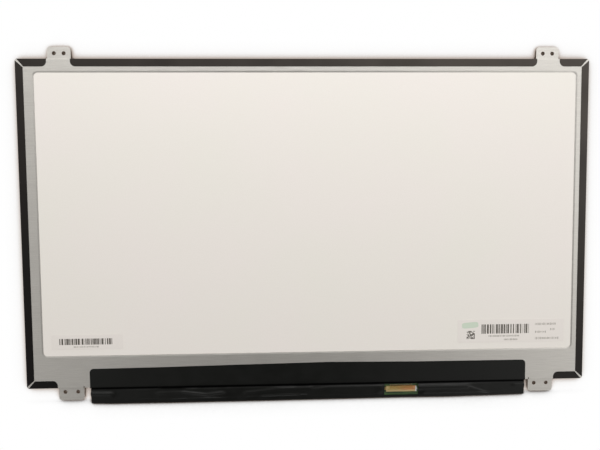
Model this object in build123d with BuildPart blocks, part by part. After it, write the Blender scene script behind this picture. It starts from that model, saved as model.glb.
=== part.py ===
from build123d import *
from collections import namedtuple
import os

os.makedirs("parts", exist_ok=True)

# A 15.6-inch laptop display panel lying face down. X runs along its length, Y up the picture's height
# and Z from the display face, at zero, to the rear. All sizes are in millimetres.

# Picture area of the display
ACTIVE_WIDTH = 344.16
ACTIVE_HEIGHT = 193.59

# Thickness of each layer, from the display face to the rear
FRONT_POLARISER_SHEET = 0.20
GLASS_SHEET = 0.30
REAR_POLARISER_SHEET = 0.20
RIM_TAPE_SHEET = 0.20
UPPER_DIFFUSER_SHEET = 0.12
PRISM_SHEET = 0.15
LOWER_DIFFUSER_SHEET = 0.13
LIGHT_GUIDE_SHEET = 0.75
REFLECTOR_SHEET = 0.20
CHASSIS_SHEET = 0.30
EDGE_TAPE_SHEET = 0.08
COVER_SHEET = 0.10
LABEL_SHEET = 0.08

# How far each layer of the cell reaches past the picture area
GLASS_SIDE_BORDER = 5.49
GLASS_UPPER_BORDER = 2.70
COLOUR_GLASS_LOWER_BORDER = 1.70
ARRAY_LEDGE = 4.40
FRONT_POLARISER_SIDE_BORDER = 2.70
FRONT_POLARISER_UPPER_BORDER = 1.50
FRONT_POLARISER_LOWER_BORDER = 1.20
SHEET_CORNER = 0.50

# Backlight around the picture area
LIGHT_GUIDE_SIDE_BORDER = 1.70
LIGHT_GUIDE_UPPER_BORDER = 0.90
LIGHT_MIXING_LENGTH = 3.22
POCKET_CLEARANCE = 0.30
RIM_TAPE_SIDE_LAP = 1.40
RIM_TAPE_UPPER_LAP = 0.80
RIM_TAPE_LOWER_LAP = 0.80
RIM_TAPE_INNER_BORDER = 0.80
LED_WIDTH = 3.80
LED_DEPTH = 1.00
LED_HEIGHT = 0.60
LED_PITCH = 8.00
LED_GAP = 0.10
LED_BACK_GAP = 0.20
FLEX_SHEET = 0.15
FLEX_WIDTH = 3.60
FLEX_END_GAP = 2.00
TAIL_FROM_LEFT_END = 45.0
TAIL_WIDTH = 9.0
TAIL_LANDING = 2.4
TAIL_BEND = 0.40
TAIL_SIDE_GAP = 0.80
TAIL_START_GAP = 0.20
TAIL_DROP_LENGTH = 1.00

# Mould frame
GLASS_CLEARANCE = 0.20
RIM_WALL = 1.50
MOULD_CLEARANCE = 0.10
MOULD_CORNER = 1.00
LOWER_RAIL = 2.94
LOWER_RAIL_GAP = 0.50

# Rear chassis
CHASSIS_CORNER = 1.20
BEND_RADIUS = 0.25
SIDE_FLANGE_GAP = 0.20
LOWER_FLANGE_GAP = 0.10
WINDOW_LEFT_RAIL = 11.10
WINDOW_RIGHT_RAIL = 8.30
WINDOW_UPPER_RAIL = 8.35
WINDOW_LOWER_RAIL = 20.80
WINDOW_CORNER = 2.50
WINDOW_LIP_WIDTH = 0.90
WINDOW_LIP_DROP = 0.20

# Screw ears folded out of the chassis
EAR_STEP = 1.40
EAR_CORNER = 2.00
EAR_RELIEF_WIDTH = 0.80
EAR_RELIEF_DEPTH = 1.10
EAR_HOLE_DIAMETER = 2.50
UPPER_EAR_INSET = 26.35
UPPER_EAR_WIDTH = 14.40
UPPER_EAR_REACH = 7.60
UPPER_HOLE_PITCH = 6.00
UPPER_HOLE_REACH = 3.60
LOWER_EAR_INSET = 27.50
LOWER_EAR_WIDTH = 16.00
LOWER_EAR_REACH = 8.20
LOWER_HOLE_PITCH = 8.10
LOWER_HOLE_REACH = 2.90

# Edge tapes
TAPE_REAR_LAP = 4.80
TAPE_MITRE_GAP = 0.40
TAPE_MITRE_OPENING = 1.00
TAPE_POLARISER_GAP = 0.30
TAPE_EAR_GAP = 0.05
TAPE_EAR_CORNER = 3.20

# Driver board below the body's lower edge
BOARD_SHEET = 0.50
BOARD_HEIGHT = 8.40
BOARD_GAP = 0.90
BOARD_END_GAP = 6.00
BOARD_CORNER = 0.80
DRIVER_COUNT = 4
DRIVER_FILM_SHEET = 0.05
DRIVER_FILM_WIDTH = 38.0
DRIVER_FILM_GLASS_LAP = 3.40
DRIVER_FILM_BOARD_LAP = 1.70
DRIVER_CHIP_WIDTH = 22.0
DRIVER_CHIP_DEPTH = 1.20
DRIVER_CHIP_HEIGHT = 0.40
FRONT_TAPE_EDGE_GAP = 0.20
FRONT_TAPE_SIDE_GAP = 0.30

# Signal socket for the display cable, open towards the lower edge
SOCKET_FROM_RIGHT_END = 75.4
SOCKET_WIDTH = 21.6
SOCKET_DEPTH = 3.50
SOCKET_HEIGHT = 1.10
SOCKET_INSET = 2.35
SHELL_SHEET = 0.12
SHELL_FOOT_WIDTH = 1.00
SHELL_FOOT_DEPTH = 1.80
SHELL_BAR_DEPTH = 1.10
SHELL_SIDE_LAP = 0.80
CONTACT_COUNT = 30
CONTACT_PITCH = 0.50
CONTACT_WIDTH = 0.20
CONTACT_SHEET = 0.12
CONTACT_TAIL = 1.00
TROUGH_LENGTH = 2.00
TROUGH_DEPTH = 0.25
TROUGH_SIDE_GAP = 0.30
MOUTH_DEPTH = 1.30
MOUTH_HEIGHT = 0.45
MOUTH_FLOOR = 0.25
MOUTH_SIDE_GAP = 1.00

# Board cover film
COVER_LAP = 13.20
COVER_LEFT_GAP = 4.25
COVER_RIGHT_GAP = 2.65
COVER_CORNER = 2.40
COVER_CLEARANCE = 0.15
COVER_STANDOFF = 0.35
COVER_DROP_RUN = 0.80
COVER_SHOULDER = 1.30
COVER_EDGE_GAP = 2.20
COVER_FRONT_LAP = 3.00
COVER_END_LIFT = 0.30
COVER_TENT_MARGIN = 0.60
COVER_TENT_RUN = 3.00
COVER_WINDOW_SIDE_GAP = 0.70
COVER_WINDOW_REAR_GAP = 1.30
COVER_WINDOW_FRONT_GAP = 2.30

# Labels on the reflector, measured from the window's edges
LABEL_CORNER = 0.60
PRODUCT_LABEL_WIDTH = 70.0
PRODUCT_LABEL_HEIGHT = 15.1
PRODUCT_LABEL_SIDE_GAP = 4.70
PRODUCT_LABEL_LOWER_GAP = 4.20
SERIAL_LABEL_WIDTH = 44.9
SERIAL_LABEL_HEIGHT = 9.40
SERIAL_LABEL_SIDE_GAP = 5.20
SERIAL_LABEL_LOWER_GAP = 4.10

# Parts on the rear of the driver board: place of the centre along X from the board's left end, middle or
# right end, distance of the centre below the board's upper edge, and size
LEFT_END = -1
MIDDLE = 0
RIGHT_END = 1
BoardPart = namedtuple("BoardPart", "datum x drop width depth height")
CHIPS = {
    "timing_controller_chip": BoardPart(MIDDLE, -5.0, 3.9, 5.6, 5.6, 0.85),
    "power_supply_chip": BoardPart(RIGHT_END, -42.0, 3.9, 5.0, 5.0, 0.85),
    "backlight_driver_chip": BoardPart(LEFT_END, 61.0, 3.9, 4.0, 4.0, 0.85),
    "gamma_reference_chip": BoardPart(LEFT_END, 97.0, 3.9, 4.0, 4.0, 0.80),
    "memory_chip": BoardPart(LEFT_END, 21.0, 3.9, 3.0, 2.0, 0.60),
    "board_fuse": BoardPart(RIGHT_END, -97.0, 2.6, 1.6, 0.8, 0.60),
    "backlight_diode": BoardPart(LEFT_END, 78.5, 3.9, 2.7, 1.5, 0.85),
    "supply_diode": BoardPart(RIGHT_END, -25.0, 3.9, 2.7, 1.5, 0.85),
}
INDUCTORS = {
    "backlight_inductor": BoardPart(LEFT_END, 70.0, 3.9, 4.2, 4.2, 1.20),
    "logic_supply_inductor": BoardPart(RIGHT_END, -51.0, 3.9, 3.2, 3.2, 1.05),
    "panel_supply_inductor": BoardPart(RIGHT_END, -33.0, 3.9, 3.2, 3.2, 1.05),
}
INDUCTOR_CORNER = 0.60
CAPACITOR_WIDTH = 0.80
CAPACITOR_DEPTH = 1.60
CAPACITOR_HEIGHT = 0.75
CAPACITOR_DROP = 3.90
CAPACITOR_GAP = 1.30
RESISTOR_WIDTH = 1.00
RESISTOR_DEPTH = 0.50
RESISTOR_HEIGHT = 0.35
RESISTOR_DROP = 6.40
RESISTOR_PITCH = 1.70
RESISTORS_IN_ROW = 4
RESISTOR_ROWS = (
    (LEFT_END, 11.0), (LEFT_END, 29.0), (MIDDLE, -25.0), (MIDDLE, 13.0), (MIDDLE, 25.0), (RIGHT_END, -17.0)
)

Plan = namedtuple("Plan", "left right lower upper")


def grown(plan, side, lower, upper):
    return Plan(plan.left - side, plan.right + side, plan.lower - lower, plan.upper + upper)


def centred(x, y, width, height):
    return Plan(x - width / 2, x + width / 2, y - height / 2, y + height / 2)


def rectangle(plan, corner=0.0, mode=Mode.ADD):
    with Locations(((plan.left + plan.right) / 2, (plan.lower + plan.upper) / 2)):
        if corner:
            RectangleRounded(plan.right - plan.left, plan.upper - plan.lower, corner, mode=mode)
        else:
            Rectangle(plan.right - plan.left, plan.upper - plan.lower, mode=mode)


def write(piece, name):
    piece.part.label = name
    export_step(piece.part, f"parts/{name}.step")


def flat_piece(name, plan, front, thickness, corner):
    with BuildPart() as piece:
        with BuildSketch(Plane.XY.offset(front)):
            rectangle(plan, corner)
        extrude(amount=thickness)
    write(piece, name)


# Levels from the display face to the rear
colour_glass_front = FRONT_POLARISER_SHEET
array_glass_front = colour_glass_front + GLASS_SHEET
rear_polariser_front = array_glass_front + GLASS_SHEET
rim_tape_front = rear_polariser_front + REAR_POLARISER_SHEET
shelf_front = rim_tape_front + RIM_TAPE_SHEET
upper_prism_front = shelf_front + UPPER_DIFFUSER_SHEET
lower_prism_front = upper_prism_front + PRISM_SHEET
lower_diffuser_front = lower_prism_front + PRISM_SHEET
light_guide_front = lower_diffuser_front + LOWER_DIFFUSER_SHEET
reflector_front = light_guide_front + LIGHT_GUIDE_SHEET
chassis_front = reflector_front + REFLECTOR_SHEET
chassis_rear = chassis_front + CHASSIS_SHEET
flex_front = chassis_front - FLEX_SHEET
led_front = flex_front - LED_HEIGHT
ear_rear = chassis_rear - EAR_STEP
ear_front = ear_rear - CHASSIS_SHEET
lower_flange_foot = shelf_front + LOWER_FLANGE_GAP
board_front = array_glass_front
board_rear = board_front + BOARD_SHEET
driver_film_front = array_glass_front - DRIVER_FILM_SHEET
front_tape_front = driver_film_front - EDGE_TAPE_SHEET

# Borders from the picture area out to the body's edges
chassis_wall = MOULD_CLEARANCE + CHASSIS_SHEET + EDGE_TAPE_SHEET
side_border = GLASS_SIDE_BORDER + GLASS_CLEARANCE + RIM_WALL + chassis_wall
upper_border = GLASS_UPPER_BORDER + GLASS_CLEARANCE + RIM_WALL + chassis_wall
led_stack = LIGHT_MIXING_LENGTH + LED_GAP + LED_DEPTH + LED_BACK_GAP
lower_border = led_stack + LOWER_RAIL + LOWER_RAIL_GAP + CHASSIS_SHEET + EDGE_TAPE_SHEET

# The origin lies under the middle of the whole panel, ears and board film included
body_height = lower_border + ACTIVE_HEIGHT + upper_border
board_reach = BOARD_GAP + BOARD_HEIGHT + COVER_EDGE_GAP + COVER_SHEET
lowest_reach = max(board_reach, LOWER_EAR_REACH)
body_lower = -(body_height + UPPER_EAR_REACH - lowest_reach) / 2
active_lower = body_lower + lower_border
active = Plan(-ACTIVE_WIDTH / 2, ACTIVE_WIDTH / 2, active_lower, active_lower + ACTIVE_HEIGHT)
body = grown(active, side_border, lower_border, upper_border)
chassis = grown(body, -EDGE_TAPE_SHEET, -EDGE_TAPE_SHEET, -EDGE_TAPE_SHEET)

# Display cell: two glass plates between two polarisers
colour_glass = grown(active, GLASS_SIDE_BORDER, COLOUR_GLASS_LOWER_BORDER, GLASS_UPPER_BORDER)
array_glass = grown(colour_glass, 0, ARRAY_LEDGE, 0)
front_polariser = grown(
    active, FRONT_POLARISER_SIDE_BORDER, FRONT_POLARISER_LOWER_BORDER, FRONT_POLARISER_UPPER_BORDER
)
light_guide = grown(active, LIGHT_GUIDE_SIDE_BORDER, LIGHT_MIXING_LENGTH, LIGHT_GUIDE_UPPER_BORDER)
pocket = grown(light_guide, POCKET_CLEARANCE, LED_GAP + LED_DEPTH + LED_BACK_GAP, POCKET_CLEARANCE)
rear_polariser = grown(pocket, RIM_TAPE_SIDE_LAP, RIM_TAPE_LOWER_LAP, RIM_TAPE_UPPER_LAP)

flat_piece("front_polariser", front_polariser, 0, FRONT_POLARISER_SHEET, SHEET_CORNER)
flat_piece("colour_filter_glass", colour_glass, colour_glass_front, GLASS_SHEET, SHEET_CORNER)
flat_piece("array_glass", array_glass, array_glass_front, GLASS_SHEET, SHEET_CORNER)
flat_piece("rear_polariser", rear_polariser, rear_polariser_front, REAR_POLARISER_SHEET, SHEET_CORNER)

# Tape frame that bonds the cell to the mould frame and holds the optical sheets by their rims
with BuildPart() as cell_rim_tape:
    with BuildSketch(Plane.XY.offset(rim_tape_front)):
        rectangle(rear_polariser, SHEET_CORNER)
        rim_opening = grown(active, RIM_TAPE_INNER_BORDER, RIM_TAPE_INNER_BORDER, RIM_TAPE_INNER_BORDER)
        rectangle(rim_opening, SHEET_CORNER, Mode.SUBTRACT)
    extrude(amount=RIM_TAPE_SHEET)
write(cell_rim_tape, "cell_rim_tape")

# Backlight sheets, light guide and reflector, stacked in the mould frame's pocket
flat_piece("upper_diffuser_sheet", light_guide, shelf_front, UPPER_DIFFUSER_SHEET, SHEET_CORNER)
flat_piece("upper_prism_sheet", light_guide, upper_prism_front, PRISM_SHEET, SHEET_CORNER)
flat_piece("lower_prism_sheet", light_guide, lower_prism_front, PRISM_SHEET, SHEET_CORNER)
flat_piece("lower_diffuser_sheet", light_guide, lower_diffuser_front, LOWER_DIFFUSER_SHEET, SHEET_CORNER)
flat_piece("light_guide_plate", light_guide, light_guide_front, LIGHT_GUIDE_SHEET, SHEET_CORNER)
flat_piece("reflector_sheet", light_guide, reflector_front, REFLECTOR_SHEET, SHEET_CORNER)

# Mould frame: a shelf under the cell, a rim round the glass that is open at the lower edge, and a sunk seat
# for the flex circuit in the lower rail
mould = Plan(
    chassis.left + CHASSIS_SHEET + MOULD_CLEARANCE,
    chassis.right - CHASSIS_SHEET - MOULD_CLEARANCE,
    chassis.lower + CHASSIS_SHEET + LOWER_RAIL_GAP,
    chassis.upper - CHASSIS_SHEET - MOULD_CLEARANCE,
)
glass_bay = grown(array_glass, GLASS_CLEARANCE, array_glass.lower - body.lower, GLASS_CLEARANCE)
led_upper = light_guide.lower - LED_GAP
flex = Plan(
    light_guide.left + FLEX_END_GAP,
    light_guide.right - FLEX_END_GAP,
    led_upper - FLEX_WIDTH,
    led_upper,
)
flex_seat = Plan(flex.left - POCKET_CLEARANCE, flex.right + POCKET_CLEARANCE, body.lower, pocket.lower)
with BuildPart() as mould_frame:
    with BuildSketch(Plane.XY.offset(shelf_front)):
        rectangle(mould, MOULD_CORNER)
        rectangle(pocket, SHEET_CORNER, Mode.SUBTRACT)
    extrude(amount=chassis_front - shelf_front)
    with BuildSketch(Plane.XY.offset(colour_glass_front)):
        rectangle(mould, MOULD_CORNER)
        rectangle(glass_bay, SHEET_CORNER, Mode.SUBTRACT)
    extrude(amount=shelf_front - colour_glass_front)
    with BuildSketch(Plane.XY.offset(flex_front)):
        rectangle(flex_seat)
    extrude(amount=FLEX_SHEET, mode=Mode.SUBTRACT)
write(mould_frame, "mould_frame")

# Side-emitting LEDs along the light guide's lower edge
led_run = flex.right - flex.left - LED_WIDTH
led_count = int(led_run / LED_PITCH) + 1
with BuildPart() as backlight_leds:
    with BuildSketch(Plane.XY.offset(led_front)):
        with Locations((0, led_upper - LED_DEPTH / 2)):
            with GridLocations(LED_PITCH, 0, led_count, 1):
                Rectangle(LED_WIDTH, LED_DEPTH)
    extrude(amount=LED_HEIGHT)
write(backlight_leds, "backlight_leds")

# Places of the four ears, and of the cover film and the board between the lower two, with the LED tail and
# the socket on the board
Ear = namedtuple("Ear", "centre width edge chassis_edge outward reach hole_pitch hole_reach")
upper_ear_x = body.right - UPPER_EAR_INSET
lower_ear_x = body.right - LOWER_EAR_INSET
ears = []
for side in (-1, 1):
    ears.append(Ear(
        side * upper_ear_x, UPPER_EAR_WIDTH, body.upper, chassis.upper, 1,
        UPPER_EAR_REACH, UPPER_HOLE_PITCH, UPPER_HOLE_REACH,
    ))
    ears.append(Ear(
        side * lower_ear_x, LOWER_EAR_WIDTH, body.lower, chassis.lower, -1,
        LOWER_EAR_REACH, LOWER_HOLE_PITCH, LOWER_HOLE_REACH,
    ))
cover_left = -lower_ear_x + LOWER_EAR_WIDTH / 2 + COVER_LEFT_GAP
cover_right = lower_ear_x - LOWER_EAR_WIDTH / 2 - COVER_RIGHT_GAP
board_upper = body.lower - BOARD_GAP
board = Plan(
    cover_left + BOARD_END_GAP, cover_right - BOARD_END_GAP, board_upper - BOARD_HEIGHT, board_upper
)
board_length = board.right - board.left
tail_x = board.left + TAIL_FROM_LEFT_END
socket_x = board.right - SOCKET_FROM_RIGHT_END


def board_x(datum, distance):
    """Place along X of a distance from the board's left end, middle or right end."""
    return (board.left + board.right + datum * board_length) / 2 + distance


# Flex circuit of the LEDs, with a tail that comes out under the chassis and is soldered to the board
tail_top = mould.lower - TAIL_START_GAP
tail_foot = board.upper - TAIL_DROP_LENGTH
with BuildPart() as led_flex_circuit:
    with BuildSketch(Plane.XY.offset(flex_front)):
        rectangle(flex, SHEET_CORNER)
    extrude(amount=FLEX_SHEET)
    with BuildSketch(Plane.YZ.offset(tail_x - TAIL_WIDTH / 2)):
        with BuildLine():
            FilletPolyline(
                (flex.lower + FLEX_WIDTH / 2, flex_front),
                (tail_top, flex_front),
                (tail_foot, board_rear),
                (tail_foot - TAIL_LANDING, board_rear),
                radius=TAIL_BEND,
            )
            offset(amount=FLEX_SHEET, side=Side.RIGHT, kind=Kind.ARC)
        make_face()
    extrude(amount=TAIL_WIDTH)
write(led_flex_circuit, "led_flex_circuit")

# Rear chassis: one steel sheet with a window that has a pressed lip, folded down at its edges and out again
# as four ears
window = Plan(
    body.left + WINDOW_LEFT_RAIL,
    body.right - WINDOW_RIGHT_RAIL,
    body.lower + WINDOW_LOWER_RAIL,
    body.upper - WINDOW_UPPER_RAIL,
)
tail_notch = centred(tail_x, chassis.lower, TAIL_WIDTH + 2 * TAIL_SIDE_GAP, 2 * CHASSIS_SHEET)
with BuildPart() as rear_chassis:
    with BuildSketch(Plane.XY.offset(chassis_front)):
        rectangle(chassis, CHASSIS_CORNER)
        rectangle(window, WINDOW_CORNER, Mode.SUBTRACT)
    extrude(amount=CHASSIS_SHEET)
    with BuildSketch(Plane.XY.offset(chassis_rear - WINDOW_LIP_DROP)):
        rectangle(window, WINDOW_CORNER)
    with BuildSketch(Plane.XY.offset(chassis_rear)):
        lip = grown(window, WINDOW_LIP_WIDTH, WINDOW_LIP_WIDTH, WINDOW_LIP_WIDTH)
        rectangle(lip, WINDOW_CORNER + WINDOW_LIP_WIDTH)
    loft(mode=Mode.SUBTRACT)
    with BuildSketch(Plane.XY.offset(chassis_front)):
        inner = grown(chassis, -CHASSIS_CORNER, -CHASSIS_CORNER, -CHASSIS_CORNER)
        rectangle(Plan(chassis.left, chassis.left + CHASSIS_SHEET, inner.lower, inner.upper))
        rectangle(Plan(chassis.right - CHASSIS_SHEET, chassis.right, inner.lower, inner.upper))
        rectangle(Plan(inner.left, inner.right, chassis.upper - CHASSIS_SHEET, chassis.upper))
    extrude(amount=colour_glass_front + SIDE_FLANGE_GAP - chassis_front)
    with BuildSketch(Plane.XY.offset(chassis_front)):
        rectangle(Plan(inner.left, inner.right, chassis.lower, chassis.lower + CHASSIS_SHEET))
        rectangle(tail_notch, mode=Mode.SUBTRACT)
    extrude(amount=lower_flange_foot - chassis_front)
    rear_rim = rear_chassis.faces().sort_by(Axis.Z)[-1].outer_wire().edges()
    fillet(rear_rim, radius=BEND_RADIUS)
    for ear in ears:
        inside = ear.chassis_edge - ear.outward * CHASSIS_SHEET
        tip = ear.edge + ear.outward * ear.reach
        relief_end = ear.chassis_edge - ear.outward * EAR_RELIEF_DEPTH
        # slots beside the ear, which let it fold apart from the flange
        with BuildSketch(Plane.XY.offset(chassis_rear)):
            with Locations((ear.centre, (tip + relief_end) / 2)):
                with GridLocations(ear.width + EAR_RELIEF_WIDTH, 0, 2, 1):
                    Rectangle(EAR_RELIEF_WIDTH, abs(tip - relief_end))
        extrude(amount=-chassis_rear, mode=Mode.SUBTRACT)
        # the flange under the ear is what the ear is folded from
        with BuildSketch(Plane.XY.offset(ear_front)):
            with Locations((ear.centre, (tip + inside) / 2)):
                Rectangle(ear.width, abs(tip - inside))
        extrude(amount=-ear_front, mode=Mode.SUBTRACT)
        with BuildSketch(Plane.XY.offset(ear_front)) as ear_plan:
            with Locations((ear.centre, (tip + inside) / 2)):
                Rectangle(ear.width, abs(tip - inside))
            outer_corners = ear_plan.vertices().sort_by(Axis.Y, reverse=ear.outward > 0)[:2]
            fillet(outer_corners, EAR_CORNER)
            with Locations((ear.centre, ear.edge + ear.outward * ear.hole_reach)):
                with GridLocations(ear.hole_pitch, 0, 2, 1):
                    Circle(EAR_HOLE_DIAMETER / 2, mode=Mode.SUBTRACT)
        extrude(amount=CHASSIS_SHEET)
    inner_folds = [
        edge for edge in rear_chassis.edges().filter_by(Axis.X)
        if abs(edge.center().Z - ear_rear) < 1e-4
        and min(abs(edge.center().Y - chassis.upper), abs(edge.center().Y - chassis.lower)) < 1e-4
    ]
    fillet(inner_folds, radius=BEND_RADIUS)
write(rear_chassis, "rear_chassis")


# Edge tapes: each is folded round one edge of the body, mitred at the corners and open where an ear comes
# through
mitre_slope = (TAPE_REAR_LAP + TAPE_MITRE_GAP - TAPE_MITRE_OPENING) / TAPE_REAR_LAP
tape_rear = chassis_rear + EDGE_TAPE_SHEET


def lap_outline(run, slopes, lap):
    start, end = run
    return [(start, 0), (end, 0), (end - slopes[1] * lap, lap), (start + slopes[0] * lap, lap)]


def edges_along(tape, plane, depth, level):
    """Edges that run along the tape at one depth from its plane's edge and one level."""
    chosen = []
    for edge in tape.edges():
        middle = plane.to_local_coords(edge.center())
        if abs(middle.Y - depth) < 1e-4 and abs(middle.Z - level) < 1e-4:
            chosen.append(edge)
    return chosen


def edge_tape(name, plane, run, slopes, front_lap, foot, gaps):
    """The plane's X runs along the body's edge, and its Y points inwards from that edge."""
    with BuildPart() as tape:
        with BuildSketch(plane.offset(chassis_rear)):
            Polygon(*lap_outline(run, slopes, TAPE_REAR_LAP), align=None)
        extrude(amount=EDGE_TAPE_SHEET)
        with BuildSketch(plane.offset(foot)):
            Polygon(*lap_outline(run, slopes, EDGE_TAPE_SHEET), align=None)
        extrude(amount=tape_rear - foot)
        if front_lap:
            with BuildSketch(plane.offset(foot)):
                Polygon(*lap_outline(run, slopes, front_lap), align=None)
            extrude(amount=EDGE_TAPE_SHEET)
        fillet(edges_along(tape, plane, EDGE_TAPE_SHEET, chassis_rear), radius=BEND_RADIUS)
        fillet(edges_along(tape, plane, 0, tape_rear), radius=BEND_RADIUS + EDGE_TAPE_SHEET)
        for centre, width in gaps:
            corner_x = width / 2 + TAPE_EAR_GAP + TAPE_EAR_CORNER
            corner_y = TAPE_REAR_LAP - TAPE_EAR_CORNER
            with BuildSketch(plane.offset(ear_front - TAPE_EAR_GAP)):
                with Locations((centre, TAPE_REAR_LAP / 2)):
                    Rectangle(width + 2 * TAPE_EAR_GAP, 2 * TAPE_REAR_LAP)
                with Locations((centre, TAPE_REAR_LAP)):
                    Rectangle(2 * corner_x, 2 * TAPE_EAR_CORNER)
                with Locations((centre - corner_x, corner_y), (centre + corner_x, corner_y)):
                    Circle(TAPE_EAR_CORNER, mode=Mode.SUBTRACT)
            extrude(amount=tape_rear, mode=Mode.SUBTRACT)
    write(tape, name)


long_end = (body.right - body.left) / 2 - TAPE_MITRE_OPENING
tall_end = body_height / 2 - TAPE_MITRE_OPENING
long_run = (-long_end, long_end)
tall_run = (-tall_end, tall_end)
mitred = (mitre_slope, mitre_slope)
body_middle = (body.lower + body.upper) / 2
upper_edge = Plane(origin=(0, body.upper, 0), x_dir=(-1, 0, 0), z_dir=(0, 0, 1))
left_edge = Plane(origin=(body.left, body_middle, 0), x_dir=(0, -1, 0), z_dir=(0, 0, 1))
right_edge = Plane(origin=(body.right, body_middle, 0), x_dir=(0, 1, 0), z_dir=(0, 0, 1))
lower_edge = Plane(origin=(0, body.lower, 0), x_dir=(1, 0, 0), z_dir=(0, 0, 1))
front_foot = colour_glass_front - EDGE_TAPE_SHEET
side_lap = side_border - FRONT_POLARISER_SIDE_BORDER - TAPE_POLARISER_GAP
upper_lap = upper_border - FRONT_POLARISER_UPPER_BORDER - TAPE_POLARISER_GAP
upper_gaps = [(-upper_ear_x, UPPER_EAR_WIDTH), (upper_ear_x, UPPER_EAR_WIDTH)]
lower_left_gap = [(-lower_ear_x, LOWER_EAR_WIDTH)]
lower_right_gap = [(lower_ear_x, LOWER_EAR_WIDTH)]

edge_tape("top_edge_tape", upper_edge, long_run, mitred, upper_lap, front_foot, upper_gaps)
edge_tape("left_edge_tape", left_edge, tall_run, mitred, side_lap, front_foot, [])
edge_tape("right_edge_tape", right_edge, tall_run, mitred, side_lap, front_foot, [])
edge_tape(
    "lower_left_edge_tape", lower_edge, (-long_end, -lower_ear_x), (mitre_slope, 0), 0,
    lower_flange_foot, lower_left_gap,
)
edge_tape(
    "lower_right_edge_tape", lower_edge, (lower_ear_x, long_end), (0, mitre_slope), 0,
    lower_flange_foot, lower_right_gap,
)

# Driver films bonded across from the array glass's ledge to the board, each with its chip in the gap between
driver_pitch = board_length / DRIVER_COUNT
driver_chip_y = (array_glass.lower + board.upper) / 2
for number in range(1, DRIVER_COUNT + 1):
    driver_x = board.left + (number - 0.5) * driver_pitch
    film = Plan(
        driver_x - DRIVER_FILM_WIDTH / 2,
        driver_x + DRIVER_FILM_WIDTH / 2,
        board.upper - DRIVER_FILM_BOARD_LAP,
        array_glass.lower + DRIVER_FILM_GLASS_LAP,
    )
    chip = centred(driver_x, driver_chip_y, DRIVER_CHIP_WIDTH, DRIVER_CHIP_DEPTH)
    flat_piece(f"driver_film_{number}", film, driver_film_front, DRIVER_FILM_SHEET, SHEET_CORNER)
    flat_piece(f"driver_chip_{number}", chip, board_front, DRIVER_CHIP_HEIGHT, 0)

# Tape over the glass ledge and the driver films, on the display side
front_tape = Plan(
    array_glass.left + FRONT_TAPE_SIDE_GAP,
    array_glass.right - FRONT_TAPE_SIDE_GAP,
    body.lower + FRONT_TAPE_EDGE_GAP,
    colour_glass.lower - FRONT_TAPE_EDGE_GAP,
)
flat_piece("lower_front_tape", front_tape, front_tape_front, EDGE_TAPE_SHEET, SHEET_CORNER)

# Driver board and the parts soldered to its rear
flat_piece("driver_board", board, board_front, BOARD_SHEET, BOARD_CORNER)


def board_plan(item):
    return centred(board_x(item.datum, item.x), board.upper - item.drop, item.width, item.depth)


for name, item in CHIPS.items():
    flat_piece(name, board_plan(item), board_rear, item.height, 0)
for name, item in INDUCTORS.items():
    flat_piece(name, board_plan(item), board_rear, item.height, INDUCTOR_CORNER)

with BuildPart() as ceramic_capacitors:
    with BuildSketch(Plane.XY.offset(board_rear)):
        for item in CHIPS.values():
            chip_x = board_x(item.datum, item.x)
            with Locations((chip_x, board.upper - CAPACITOR_DROP)):
                with GridLocations(item.width + 2 * CAPACITOR_GAP, 0, 2, 1):
                    Rectangle(CAPACITOR_WIDTH, CAPACITOR_DEPTH)
    extrude(amount=CAPACITOR_HEIGHT)
write(ceramic_capacitors, "ceramic_capacitors")

with BuildPart() as chip_resistors:
    with BuildSketch(Plane.XY.offset(board_rear)):
        for datum, distance in RESISTOR_ROWS:
            with Locations((board_x(datum, distance), board.upper - RESISTOR_DROP)):
                with GridLocations(RESISTOR_PITCH, 0, RESISTORS_IN_ROW, 1):
                    Rectangle(RESISTOR_WIDTH, RESISTOR_DEPTH)
    extrude(amount=RESISTOR_HEIGHT)
write(chip_resistors, "chip_resistors")

# Signal socket: a moulded housing with its mouth towards the lower edge, a folded shell and a row of contacts
socket_upper = board.upper - SOCKET_INSET
socket = Plan(
    socket_x - SOCKET_WIDTH / 2, socket_x + SOCKET_WIDTH / 2, socket_upper - SOCKET_DEPTH, socket_upper
)
housing = grown(socket, -SHELL_FOOT_WIDTH, 0, 0)
housing_top = board_rear + SOCKET_HEIGHT - SHELL_SHEET
contact_run = (CONTACT_COUNT - 1) * CONTACT_PITCH + CONTACT_WIDTH
trough = Plan(
    socket_x - contact_run / 2 - TROUGH_SIDE_GAP,
    socket_x + contact_run / 2 + TROUGH_SIDE_GAP,
    socket.upper - TROUGH_LENGTH,
    socket.upper,
)
trough_floor = housing_top - TROUGH_DEPTH
with BuildPart() as signal_socket_housing:
    with BuildSketch(Plane.XY.offset(board_rear)):
        rectangle(housing)
    extrude(amount=housing_top - board_rear)
    with BuildSketch(Plane.XY.offset(trough_floor)):
        rectangle(trough)
    extrude(amount=TROUGH_DEPTH, mode=Mode.SUBTRACT)
    with BuildSketch(Plane.XY.offset(board_rear + MOUTH_FLOOR)):
        mouth_width = contact_run + 2 * MOUTH_SIDE_GAP
        rectangle(centred(socket_x, socket.lower, mouth_width, 2 * MOUTH_DEPTH))
    extrude(amount=MOUTH_HEIGHT, mode=Mode.SUBTRACT)
write(signal_socket_housing, "signal_socket_housing")

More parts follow.
